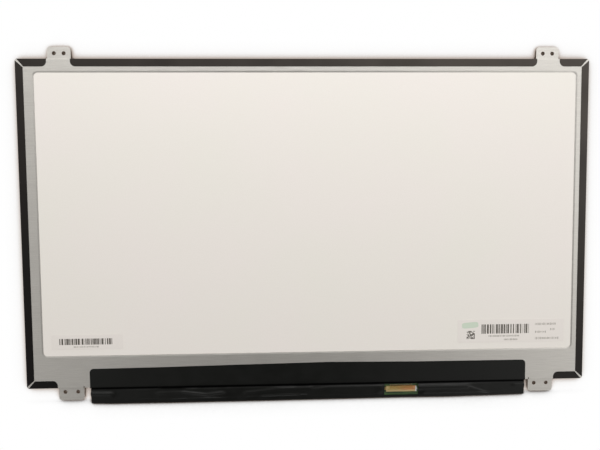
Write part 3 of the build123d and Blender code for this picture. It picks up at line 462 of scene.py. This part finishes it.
# Height of the film's crown along the board. It stands clear of all the parts, highest over the inductors and where
# it has bulged up beside the socket.
CROWN = ((-141, 1.75), (-122, 1.80), (-110, 2.05), (-80, 2.15), (-66, 2.42), (-60, 2.42), (-48, 2.05), (20, 2.05),
         (42, 2.05), (48, 2.32), (72, 2.32), (80, 2.35), (106, 2.35), (118, 2.05), (142, 1.75))
crown = numpy.interp(column_x, *zip(*CROWN))


def beside(left, right, run):
    """1 between two places along the board, falling smoothly to 0 over a run to either side."""
    past = numpy.maximum(left - column_x, column_x - right)
    share = numpy.clip(1 - past / run, 0, 1)
    return share * share * (3 - 2 * share)


# At the socket the film lies flat on the board in front of it. The groove between the chassis and the board is
# shallower beside the largest inductor and the largest chip, and filled where the tail of the backlight strip comes
# through.
FRONT_SAG, FLAT_FRONT, BEND = 0.25, 1.47, 4.5
front = crown - FRONT_SAG + (FLAT_FRONT - crown) * beside(window_left - 0.1, window_right + 0.1, BEND)
GROOVE_WALL, GROOVE_FLOOR = 1.95, 1.65
filled = numpy.maximum(0.90 * beside(-94.5, -83.5, BEND), 0.35 * beside(-70.0, -57.0, 5.0))
filled = numpy.maximum(filled, 0.25 * beside(-7.5, -1.0, 3.0))
groove_wall = GROOVE_WALL + filled
groove_floor = GROOVE_FLOOR + filled

# The upper edge is laid a little askew, and the lower edge hangs lowest left of the middle.
from_end = numpy.clip(numpy.minimum(column_x - film_low.x, film_high.x - column_x), 0, FILM_CORNER)
top = film_high.y - FILM_CORNER + numpy.sqrt(FILM_CORNER ** 2 - (FILM_CORNER - from_end) ** 2)
top += numpy.interp(column_x, (-140, -100, -50, 13, 70, 141), (-1.0, -0.7, 0.0, 0.8, 0.1, 0.0))
hang = film_low.y + numpy.interp(
    column_x, (-140, -128, -92, -32, 32, 60, 90, 125, 142), (0.45, 0.1, 0.0, 0.1, 0.4, 0.55, 0.35, 0.8, 1.1))

# The film's outer face from its stuck upper edge, down a groove behind the chassis, over the parts, and round the
# board's lower edge to the front. Each corner has the share of the creases that reaches it.
corners = [
    (top, film_high.z, 0.0), (body_lower + 0.02, film_high.z, 0.0), (body_lower - 0.22, film_high.z - 0.14, 0.0),
    (body_lower - 0.40, groove_wall, 0.0), (body_lower - 0.70, groove_floor, 0.0),
    (body_lower - 1.4, groove_floor, 0.2), (body_lower - 2.5, crown, 0.9), (body_lower - 5.0, crown, 1.0),
    (board_low.y + 1.5, front, 1.0), (board_low.y, 1.25, 0.3),
    (hang + 0.50, 1.16, 0.0), (hang + 0.12, 1.0, 0.0), (hang, 0.75, 0.0), (hang + 0.12, 0.5, 0.0),
    (board_low.y, film_low.z, 0.0), (body_lower + 3.0, film_low.z, 0.0)]
steps = (6, 3, 3, 3, 4, 6, 11, 12, 7, 3, 2, 2, 2, 2, 5)
run = []
for start, end, number in zip(corners, corners[1:], steps):
    for step in range(number):
        run.append([a + (b - a) * step / number + 0 * column_x for a, b in zip(start, end)])
run.append([value + 0 * column_x for value in corners[-1]])
run = numpy.array(run)
for _ in range(2):
    run[8:-8, :2] = 0.25 * run[7:-9, :2] + 0.5 * run[8:-8, :2] + 0.25 * run[9:-7, :2]
across_y, across_z, loose = run[:, 0], run[:, 1], run[:, 2]

# Creases where the film is kinked: each runs from one x and drop below the chassis to another, has a face of a
# given width that rises away from the chassis to a height, and falls off slowly behind it.
CREASES = (
    (-141, 3.3, -128, 3.5, 1.00, 2.2, 4.0), (-96, 3.9, -81, 3.6, 0.45, 1.8, 3.0),
    (-81, 3.6, -65.5, 5.5, 0.75, 1.6, 2.5), (-65.5, 5.5, -57, 4.3, 0.75, 1.9, 2.5),
    (-94, 8.6, -80, 7.8, 0.40, 1.2, 1.0), (-40, 4.7, -19, 2.5, 0.55, 2.2, 3.5),
    (-19, 2.5, 0, 2.3, 0.60, 2.0, 3.5), (-29, 7.3, -9, 6.9, 0.40, 1.1, 1.2),
    (2, 3.4, 12, 2.5, 0.45, 1.5, 2.5), (12, 2.5, 46, 2.4, 0.45, 1.8, 4.0),
    (72.5, 3.0, 103, 3.1, 1.00, 2.6, 3.0), (103, 3.1, 116, 7.8, 0.60, 1.5, 2.0),
    (136, 3.0, 142, 3.1, 0.50, 1.5, 3.0))
drop = body_lower - across_y
rise = numpy.zeros_like(drop)
for x0, drop0, x1, drop1, height, face, fall in CREASES:
    line = numpy.interp(column_x, (x0, x1), (drop0, drop1))
    up = numpy.clip((drop - line) / face + 0.5, 0, 1)
    down = numpy.clip(1 - (drop - line - face / 2) / fall, 0, 1)
    rise = numpy.maximum(rise, height * beside(x0, x1, 4.0) * up * up * (3 - 2 * up) * down * down)
crumple = numpy.array([[
    0.10 * noise.noise(Vector((x / 11, (y + 0.12 * x) / 2.4, 3.1)))
    + 0.04 * noise.noise(Vector((x / 3.5, y / 1.3, 8.7)))
    for x, y in zip(column_x, line)] for line in drop])
across_z = numpy.minimum(across_z + (rise + crumple) * loose, film_high.z)

count = len(column_x)
points = numpy.stack([numpy.broadcast_to(column_x, across_y.shape), across_y, across_z], axis=-1).reshape(-1, 3) * MM
faces = []
for j in range(len(run) - 1):
    middle_y = run[j:j + 2, 0].mean(axis=0)
    for i in range(count - 1):
        in_window = window_left <= (column_x[i] + column_x[i + 1]) / 2 <= window_right
        if in_window and run[j, 1, i] > 1.1 and window_lower < middle_y[i] < window_upper:
            continue
        a = j * count + i
        faces.append((a, a + count, a + count + 1, a + 1))
film_mesh = bpy.data.meshes.new("board_cover")
film_mesh.from_pydata(points.tolist(), [], faces)
film_mesh.update()
cover = bpy.data.objects.new("board_cover", film_mesh)
bpy.context.scene.collection.objects.link(cover)

# Black polyester film: near black with a soft sheen, so that each crease catches the light. Handling leaves a light
# haze in patches about 8 mm across and scuffs about 0.5 mm wide. A painted shade makes the fold below the chassis a
# deep dull black, with its sheen turned down.
black_film, tree, place = new_finish("black_polyester_film")
scuffs = add(tree, "ShaderNodeTexNoise", {"Vector": place, "Scale": 1 / 0.5e-3, "Detail": 4.0})
patch = add(tree, "ShaderNodeTexNoise", {"Vector": place, "Scale": 1 / 8e-3, "Detail": 2.0})
rough = spread(tree, patch, 0.38, 0.48, 0.3, 0.7)
black = blend(tree, scuffs, linear("#060705"), linear("#0a0b08"))
# Painted shade: a band along the fold below the chassis, darkened and with its sheen turned down.
painted_fold_shade = add(tree, "ShaderNodeSeparateXYZ", {"Vector": place}, give="Y")
painted_fold_shade = add(tree, "ShaderNodeMath", {0: painted_fold_shade, 1: (body_lower - 0.75) * MM}, operation="SUBTRACT")
painted_fold_shade = add(tree, "ShaderNodeMath", {0: painted_fold_shade}, operation="ABSOLUTE")
painted_fold_shade = add(tree, "ShaderNodeMapRange", {"Value": painted_fold_shade, "From Min": 0.6e-3, "From Max": 1.3e-3},
           interpolation_type="SMOOTHSTEP")
black = blend(tree, painted_fold_shade, linear("#020202"), black)
gloss = spread(tree, painted_fold_shade, 0.05, 0.5)
relief = add(tree, "ShaderNodeBump", {"Height": scuffs, "Strength": 0.12, "Distance": 0.02e-3})
coat(tree, {
    "Base Color": black, "Roughness": rough, "IOR": 1.38, "Specular IOR Level": gloss, "Normal": relief})
film_mesh.materials.append(black_film)
film_mesh.shade_smooth()
uses = {}
for face in film_mesh.polygons:
    for key in face.edge_keys:
        uses[key] = uses.get(key, 0) + 1
for edge in film_mesh.edges:
    edge.use_edge_sharp = uses[edge.key] == 1
thickness = cover.modifiers.new("film_thickness", "SOLIDIFY")
thickness.thickness = FILM_THICK * MM
thickness.offset = -1.0
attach(cover, "root")
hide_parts("board_cover_film")


# ---------------------------------------------------------------------------------------------------------------
# Edge tapes: black polyester tape that seals the seam between the cell and the chassis. Each strip is laid along
# the rear rim, folded over the edge and pressed down on the front; it is cut away round the screw ears.

dress(tape, "top_edge_tape", "left_edge_tape", "right_edge_tape", "lower_left_edge_tape", "lower_right_edge_tape")


# ---------------------------------------------------------------------------------------------------------------
# Labels: two stickers of coated white polyester on the reflector sheet, printed with bar codes, a square code, grey
# lines and a pale green patch. The print stands a hundredth of a millimetre proud.

# Coated polyester label stock: a satin white, with a paper-like tooth about 0.3 mm wide, drawn 0.6 mm wide.
label_stock, tree, place = new_finish("white_label_polyester")
tooth = add(tree, "ShaderNodeTexNoise", {"Vector": place, "Scale": 1 / 0.6e-3, "Detail": 3.0})
white = blend(tree, tooth, linear("#efe8e2"), linear("#f3ede7"))
rough = spread(tree, tooth, 0.4, 0.5)
relief = add(tree, "ShaderNodeBump", {"Height": tooth, "Strength": 0.1, "Distance": 0.02e-3})
coat(tree, {
    "Base Color": white, "Roughness": rough, "IOR": 1.5, "Normal": relief})
dress(label_stock, "product_label", "serial_label")

# Thermal-transfer ink: a resin black that dries satin, thinner in specks about 0.2 mm wide where the ribbon
# skipped.
inks = {}
for ink_name, dense, thin in (("black_transfer_ink", "#4a453f", "#6b655d"),
                              ("grey_transfer_ink", "#9d988f", "#b3aea5"),
                              ("pale_green_ink", "#ccdbc6", "#dbe5d5")):
    ink, tree, place = new_finish(ink_name)
    specks = add(tree, "ShaderNodeTexNoise", {"Vector": place, "Scale": 1 / 0.2e-3})
    colour = blend(tree, specks, linear(dense), linear(thin))
    rough = spread(tree, specks, 0.4, 0.55)
    coat(tree, {"Base Color": colour, "Roughness": rough, "IOR": 1.5})
    inks[ink_name] = ink

# A printed row: bars in random whole-number widths with random gaps, fitted into a given run. Bars of one height
# are a bar code, and small ones of uneven height a line of small print.
printed_row, given = plant("printed_row", Bars="Int", Run="Float", Height="Float", Shortest="Float", Start="Vector",
                           Widest="Int", Gap="Int", Thickness="Float", Seed="Int", Ink="Material")
width = add(printed_row, "FunctionNodeRandomValue", {"Min": 1, "Max": given["Widest"], "Seed": given["Seed"]},
            data_type="INT")
other_seed = add(printed_row, "ShaderNodeMath", {0: given["Seed"], 1: 100.0}, operation="ADD")
gap = add(printed_row, "FunctionNodeRandomValue", {"Min": 1, "Max": given["Gap"], "Seed": other_seed},
          data_type="INT")
pitch = add(printed_row, "ShaderNodeMath", {0: width, 1: gap}, operation="ADD")
before = add(printed_row, "GeometryNodeAccumulateField", {"Value": pitch}, give="Trailing")
total = add(printed_row, "GeometryNodeAccumulateField", {"Value": pitch}, give="Total")
unit = add(printed_row, "ShaderNodeMath", {0: given["Run"], 1: total}, operation="DIVIDE")
middle = add(printed_row, "ShaderNodeMath", {0: width, 1: 0.5, 2: before}, operation="MULTIPLY_ADD")
middle = add(printed_row, "ShaderNodeMath", {0: middle, 1: unit}, operation="MULTIPLY")
shift = add(printed_row, "ShaderNodeCombineXYZ", {"X": middle})
line = add(printed_row, "GeometryNodeMeshLine", {
    "Count": given["Bars"], "Start Location": given["Start"], "Offset": (0.0, 0.0, 0.0)})
line = add(printed_row, "GeometryNodeSetPosition", {"Geometry": line, "Offset": shift})
wide = add(printed_row, "ShaderNodeMath", {0: width, 1: unit}, operation="MULTIPLY")
tall = add(printed_row, "FunctionNodeRandomValue", {"Min": given["Shortest"], "Max": 1.0, "Seed": given["Seed"]},
           data_type="FLOAT")
tall = add(printed_row, "ShaderNodeMath", {0: tall, 1: given["Height"]}, operation="MULTIPLY")
size = add(printed_row, "ShaderNodeCombineXYZ", {"X": wide, "Y": tall, "Z": given["Thickness"]})
bar = add(printed_row, "GeometryNodeMeshCube", {"Size": (1.0, 1.0, 1.0)})
placed = add(printed_row, "GeometryNodeInstanceOnPoints", {"Points": line, "Instance": bar, "Scale": size})
together = add(printed_row, "GeometryNodeJoinGeometry", {"Geometry": placed})
printed_row.links.new(given["Geometry"], together.node.inputs["Geometry"])
solid = add(printed_row, "GeometryNodeRealizeInstances", {"Geometry": together})
solid = add(printed_row, "GeometryNodeSetMaterial", {"Geometry": solid, "Material": given["Ink"]})
add(printed_row, "NodeGroupOutput", {"Geometry": solid})

# A square code: a grid of cells, of which a random share is printed.
printed_cells, given = plant("printed_cells", Cells="Int", Side="Float", Centre="Vector", Bare="Float",
                             Thickness="Float", Seed="Int", Ink="Material")
grid = add(printed_cells, "GeometryNodeMeshGrid", {
    "Size X": given["Side"], "Size Y": given["Side"], "Vertices X": given["Cells"], "Vertices Y": given["Cells"]})
grid = add(printed_cells, "GeometryNodeSetPosition", {"Geometry": grid, "Offset": given["Centre"]})
left_bare = add(printed_cells, "FunctionNodeRandomValue", {"Probability": given["Bare"], "Seed": given["Seed"]},
                data_type="BOOLEAN")
grid = add(printed_cells, "GeometryNodeDeleteGeometry", {"Geometry": grid, "Selection": left_bare})
cell = add(printed_cells, "ShaderNodeMath", {0: given["Cells"], 1: 1.0}, operation="SUBTRACT")
cell = add(printed_cells, "ShaderNodeMath", {0: given["Side"], 1: cell}, operation="DIVIDE")
cell = add(printed_cells, "ShaderNodeMath", {0: cell, 1: 0.96}, operation="MULTIPLY")
size = add(printed_cells, "ShaderNodeCombineXYZ", {"X": cell, "Y": cell, "Z": given["Thickness"]})
bar = add(printed_cells, "GeometryNodeMeshCube", {"Size": (1.0, 1.0, 1.0)})
placed = add(printed_cells, "GeometryNodeInstanceOnPoints", {"Points": grid, "Instance": bar, "Scale": size})
solid = add(printed_cells, "GeometryNodeRealizeInstances", {"Geometry": placed})
solid = add(printed_cells, "GeometryNodeSetMaterial", {"Geometry": solid, "Material": given["Ink"]})
add(printed_cells, "NodeGroupOutput", {"Geometry": solid})

PRINT = 0.012e-3
product_low, product_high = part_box("product_label")
serial_low, serial_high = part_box("serial_label")
print_z = product_high.z + PRINT / 2


def bar_code(x0, x1, y0, y1, bars, seed):
    """Values for a bar code between two corners, in millimetres."""
    return {"Bars": bars, "Run": (x1 - x0) * MM, "Height": (y1 - y0) * MM, "Shortest": 1.0,
            "Start": (x0 * MM, (y0 + y1) / 2 * MM, print_z), "Widest": 5, "Gap": 4, "Thickness": PRINT, "Seed": seed,
            "Ink": inks["black_transfer_ink"]}


def small_print(x0, x1, y, tall, letters, seed):
    """Values for a line of small grey marks from x0 to x1 at y, in millimetres."""
    return {"Bars": letters, "Run": (x1 - x0) * MM, "Height": tall * MM, "Shortest": 0.6,
            "Start": (x0 * MM, y * MM, print_z), "Widest": 2, "Gap": 2, "Thickness": PRINT, "Seed": seed,
            "Ink": inks["grey_transfer_ink"]}


# Heights on the labels are measured from the body's lower edge.
base = body_lower
product_bars = grow("product_label_bars", printed_row, bar_code(112.5, 144.4, base + 30.7, base + 36.8, 26, 4))
product_lines = grow(
    "product_label_lines", printed_row,
    small_print(147.8, 161.7, base + 36.6, 1.6, 19, 11), small_print(158.0, 161.0, base + 33.0, 1.5, 4, 12),
    small_print(147.9, 155.2, base + 31.4, 1.5, 10, 13), small_print(147.9, 163.8, base + 27.2, 1.6, 21, 14),
    small_print(117.2, 137.7, base + 29.1, 1.3, 28, 15), small_print(127.4, 136.7, base + 26.7, 1.3, 12, 16))
serial_bars = grow("serial_label_bars", printed_row, bar_code(-158.5, -124.9, base + 27.9, base + 31.8, 30, 7))
serial_lines = grow("serial_label_lines", printed_row, small_print(-149.6, -133.8, base + 26.5, 1.1, 24, 17))
square_code = grow("product_label_code", printed_cells, {
    "Cells": 10, "Side": 4.8 * MM, "Centre": (105.4 * MM, (base + 30.0) * MM, print_z), "Bare": 0.35,
    "Thickness": PRINT, "Seed": 5, "Ink": inks["black_transfer_ink"]})

# The green patch is a flat oblong with rounded ends, printed a little out of square.
PATCH_HALF = (5.4, 1.9)
PATCH_TURN = math.radians(4.0)
PATCH_SIDES = 32
outline = []
for k in range(PATCH_SIDES):
    turn = 2 * math.pi * (k + 0.5) / PATCH_SIDES
    x, y = (half * math.copysign(abs(share) ** 0.45, share)
            for half, share in zip(PATCH_HALF, (math.cos(turn), math.sin(turn))))
    outline.append((105.0 + x * math.cos(PATCH_TURN) - y * math.sin(PATCH_TURN),
                    base + 36.4 + x * math.sin(PATCH_TURN) + y * math.cos(PATCH_TURN)))
patch_mesh = bpy.data.meshes.new("product_label_patch")
patch_mesh.from_pydata(
    [(x * MM, y * MM, z) for z in (product_high.z, product_high.z + PRINT) for x, y in outline], [],
    [tuple(range(PATCH_SIDES))[::-1], tuple(range(PATCH_SIDES, 2 * PATCH_SIDES))]
    + [(k, (k + 1) % PATCH_SIDES, PATCH_SIDES + (k + 1) % PATCH_SIDES, PATCH_SIDES + k) for k in range(PATCH_SIDES)])
patch_mesh.materials.append(inks["pale_green_ink"])
green_patch = bpy.data.objects.new("product_label_patch", patch_mesh)
bpy.context.scene.collection.objects.link(green_patch)
for printed in (product_bars, product_lines, serial_bars, serial_lines, square_code, green_patch):
    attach(printed, "root")


# ---------------------------------------------------------------------------------------------------------------
# Stage: a plain white table top under the panel. It is open below the display face, and clear when it is seen from
# underneath, so that the panel can be looked at from that side too.

TABLE_HALF = 6.0
OPEN_LOW, OPEN_HIGH = Vector((-0.170, -0.090, 0.0)), Vector((0.170, 0.097, 0.0))
TABLE_TOP = -0.03e-3
xs = (-TABLE_HALF, OPEN_LOW.x, OPEN_HIGH.x, TABLE_HALF)
ys = (-TABLE_HALF, OPEN_LOW.y, OPEN_HIGH.y, TABLE_HALF)
table_mesh = bpy.data.meshes.new("table_top")
table_mesh.from_pydata(
    [(x, y, TABLE_TOP) for y in ys for x in xs], [],
    [(4 * j + i, 4 * j + i + 1, 4 * j + i + 5, 4 * j + i + 4)
     for j in range(3) for i in range(3) if (i, j) != (1, 1)])
table = bpy.data.objects.new("table_top", table_mesh)
bpy.context.scene.collection.objects.link(table)

# White laminate: seen directly or mirrored it is plain white, with a painted shadow that is warm grey close to the
# panel and dark brown where the panel nearly closes it off, as under the ears' holes. The light comes from beyond
# the upper edge, so that the painted shadow is darkest and reaches farthest out below the lower one.
white_table, tree, place = new_finish("white_laminate")
shaded = add(tree, "ShaderNodeBsdfDiffuse", {"Color": linear("#f3efe9")})
row = add(tree, "ShaderNodeSeparateXYZ", {"Vector": place}, give="Y")
SHADE_FULL, SHADE_START = -111e-3, -109e-3
beside_panel = spread(tree, row, 0.0, 1.0, SHADE_FULL, SHADE_START)
lean = spread(tree, beside_panel, 0.35, 0.0)
toward_light = add(tree, "ShaderNodeCombineXYZ", {"Y": lean, "Z": 1.0})
toward_light = add(tree, "ShaderNodeVectorMath", {0: toward_light}, operation="NORMALIZE")
open_sky = add(tree, "ShaderNodeAmbientOcclusion", {"Distance": 12e-3, "Normal": toward_light}, give="AO", samples=16)
ajar = spread(tree, open_sky, 0.0, 1.0, 0.44, 0.62)
ajar = add(tree, "ShaderNodeMath", {0: ajar, 1: beside_panel}, operation="MULTIPLY")
# Painted shadow: its colour follows how far the panel closes the table off.
shade = blend(tree, ajar, linear("#4a3f37"), linear("#bdb1a8"))
away = add(tree, "ShaderNodeMapRange", {"Value": open_sky, "From Min": 0.66, "From Max": 0.98},
           interpolation_type="SMOOTHSTEP")
colour = blend(tree, away, shade, linear("#ffffff"))
lit = add(tree, "ShaderNodeEmission", {"Color": colour, "Strength": 1.0})
seen = add(tree, "ShaderNodeLightPath", give="Is Camera Ray")
for other in ("Is Glossy Ray", "Is Transmission Ray"):
    ray = add(tree, "ShaderNodeLightPath", give=other)
    seen = add(tree, "ShaderNodeMath", {0: seen, 1: ray}, operation="MAXIMUM")
surface = add(tree, "ShaderNodeMixShader", {"Fac": seen, 1: shaded, 2: lit})
underneath = add(tree, "ShaderNodeNewGeometry", give="Backfacing")
clear = add(tree, "ShaderNodeBsdfTransparent")
surface = add(tree, "ShaderNodeMixShader", {"Fac": underneath, 1: surface, 2: clear})
add(tree, "ShaderNodeOutputMaterial", {"Surface": surface})
table_mesh.materials.append(white_table)

# Room light: pale walls up to about 20 degrees above the table, and a ceiling that is brighter towards some sides.
WALLS = 0.3
SIDES = (((0.0, 1.0, 0.0), 0.41), ((1.0, 0.0, 0.0), 0.98), ((-1.0, 0.0, 0.0), 0.73))
world = bpy.data.worlds.new("soft_studio")
bpy.context.scene.world = world
world.use_nodes = True
tree = world.node_tree
tree.nodes.clear()
direction = add(tree, "ShaderNodeTexCoord", give="Generated")
ceiling = 0.0
for aim, strength in SIDES:
    toward = add(tree, "ShaderNodeVectorMath", {0: direction, 1: aim}, give="Value", operation="DOT_PRODUCT")
    toward = add(tree, "ShaderNodeMapRange", {"Value": toward, "From Max": 0.7, "To Max": strength},
                 interpolation_type="SMOOTHSTEP")
    ceiling = add(tree, "ShaderNodeMath", {0: ceiling, 1: toward}, operation="ADD")
height = add(tree, "ShaderNodeSeparateXYZ", {"Vector": direction}, give="Z")
overhead = add(tree, "ShaderNodeMapRange", {"Value": height, "From Min": 0.1, "From Max": 0.4},
               interpolation_type="SMOOTHSTEP")
level = add(tree, "ShaderNodeMix", {"Factor": overhead, "A": WALLS, "B": ceiling}, data_type="FLOAT")
seen = add(tree, "ShaderNodeLightPath", give="Is Camera Ray")
level = add(tree, "ShaderNodeMix", {"Factor": seen, "A": level, "B": 1.0}, data_type="FLOAT")
glow = add(tree, "ShaderNodeBackground", {"Color": linear("#fffefc"), "Strength": level})
add(tree, "ShaderNodeOutputWorld", {"Surface": glow})

# A softbox beyond the panel's upper edge, close enough that its light falls off towards the lower edge, and a small
# weak one at the right.
for name, size, energy, place in (("upper_softbox", (0.8, 0.3), 2.02, (0.0, 0.45, 0.30)),
                                  ("right_softbox", (0.3, 0.3), 0.125, (0.45, 0.05, 0.25))):
    lamp = bpy.data.lights.new(name, "AREA")
    lamp.shape = "RECTANGLE"
    lamp.size, lamp.size_y = size
    lamp.energy = energy
    softbox = bpy.data.objects.new(name, lamp)
    softbox.location = place
    softbox.rotation_euler = (-softbox.location).to_track_quat("-Z", "Y").to_euler()
    softbox.visible_camera = False
    bpy.context.scene.collection.objects.link(softbox)

# The photograph's camera: nearly straight above the panel, 0.32 m away, at a short focal length.
camera = bpy.data.objects.new("camera", bpy.data.cameras.new("camera"))
camera.data.sensor_width = 36.0
camera.data.lens = 30.0
camera.data.clip_start = 0.01
camera.location = (-0.01496, 0.01847, 0.3202)
camera.rotation_euler = (math.radians(-3.07), math.radians(-1.795), math.radians(-0.463))
bpy.context.scene.collection.objects.link(camera)
bpy.context.scene.camera = camera

bpy.context.scene.view_settings.view_transform = "Standard"
